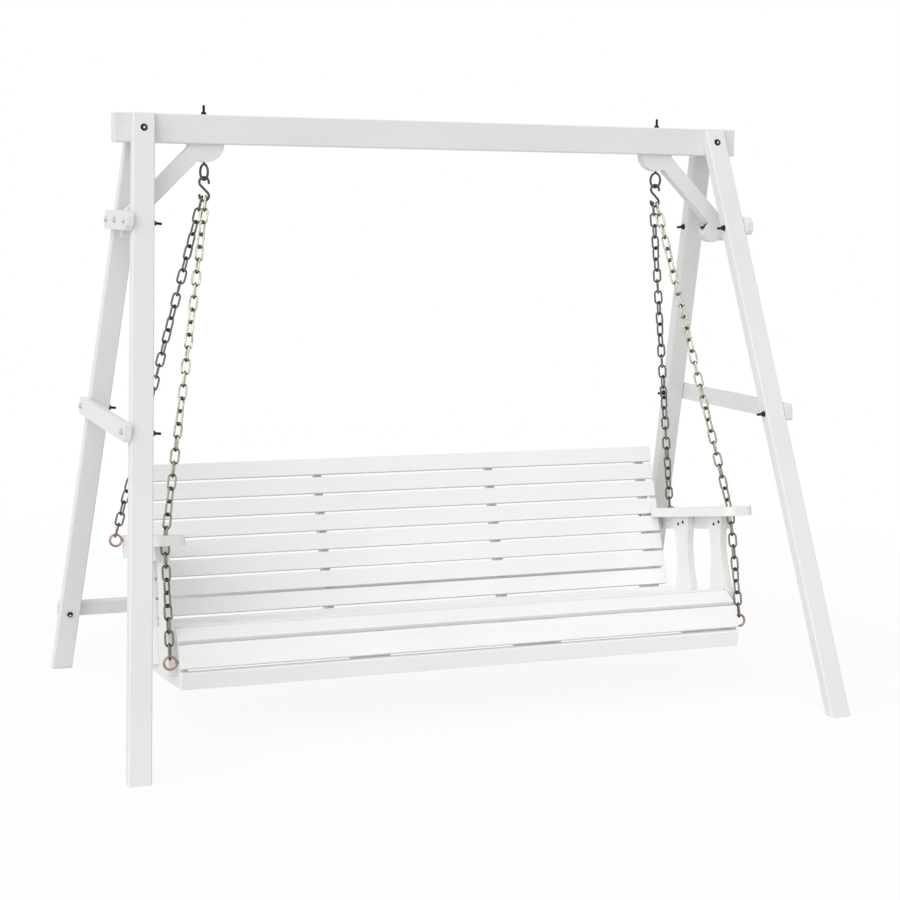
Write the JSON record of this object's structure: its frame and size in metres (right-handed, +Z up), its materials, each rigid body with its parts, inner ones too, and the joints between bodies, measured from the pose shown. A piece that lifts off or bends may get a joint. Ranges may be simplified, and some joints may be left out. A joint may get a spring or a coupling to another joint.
{
  "type": "porch swing",
  "caption": "Slatted garden bench with armrests, hung by chains and hooks from the braced beam of a free-standing A-frame stand.",
  "frame": {"origin": "on the ground, in the middle of the four feet", "axes": "+X to the right along the beam, +Y to the back of the bench, +Z up; the front of the bench faces -Y"},
  "size_m": [2.1062, 1.298, 1.727],
  "materials": {
    "stand_paint": "painted",
    "bench_paint": "painted",
    "black_bolt": "satin",
    "eye_steel": "satin",
    "hook_steel": "satin",
    "chain_bronze": "antique",
    "seat_eye_bronze": "antique",
    "dark_screw": "satin"
  },
  "bodies": {
    "stand": {"top_beam": "stand_paint", "front_leg_left": "stand_paint", "front_leg_right": "stand_paint", "rear_leg_left": "stand_paint", "rear_leg_right": "stand_paint", "upper_plate_left": "stand_paint", "upper_plate_right": "stand_paint", "lower_crossbar_left": "stand_paint", "lower_crossbar_right": "stand_paint", "brace_left": "stand_paint", "brace_right": "stand_paint", "rear_stretcher": "stand_paint", "beam_bolts": "black_bolt", "side_bolts": "black_bolt", "stretcher_bolts": "black_bolt", "top_eye_bolts": "eye_steel", "top_eye_nuts": "eye_steel"},
    "bench": {"s_hook_left": "hook_steel", "s_hook_right": "hook_steel", "chain_front_left": "chain_bronze", "chain_front_right": "chain_bronze", "chain_rear_left": "chain_bronze", "chain_rear_right": "chain_bronze", "end_rib_left": "bench_paint", "end_rib_right": "bench_paint", "inner_rib_left": "bench_paint", "inner_rib_right": "bench_paint", "seat_slat_1": "bench_paint", "seat_slat_2": "bench_paint", "seat_slat_3": "bench_paint", "seat_slat_4": "bench_paint", "seat_slat_5": "bench_paint", "seat_slat_6": "bench_paint", "shoulder_slat": "bench_paint", "nose_slat": "bench_paint", "front_apron": "bench_paint", "end_batten_left": "bench_paint", "end_batten_right": "bench_paint", "inner_batten_left": "bench_paint", "inner_batten_right": "bench_paint", "back_slat_1": "bench_paint", "back_slat_2": "bench_paint", "back_slat_3": "bench_paint", "back_slat_4": "bench_paint", "back_slat_5": "bench_paint", "back_slat_6": "bench_paint", "back_slat_7": "bench_paint", "back_slat_8": "bench_paint", "front_post_left": "bench_paint", "front_post_right": "bench_paint", "rear_post_left": "bench_paint", "rear_post_right": "bench_paint", "arm_block_left": "bench_paint", "arm_block_right": "bench_paint", "arm_cleat_left": "bench_paint", "arm_cleat_right": "bench_paint", "armrest_left": "bench_paint", "armrest_right": "bench_paint", "seat_eye_bolts": "seat_eye_bronze", "post_screws": "dark_screw"}
  },
  "joints": [
    {"name": "swing", "type": "hinge", "parent": "stand", "child": "bench", "pos_m": [0, 0, 1.5288], "axis": [1, 0, 0], "range_deg": [-25, 25]}
  ]
}
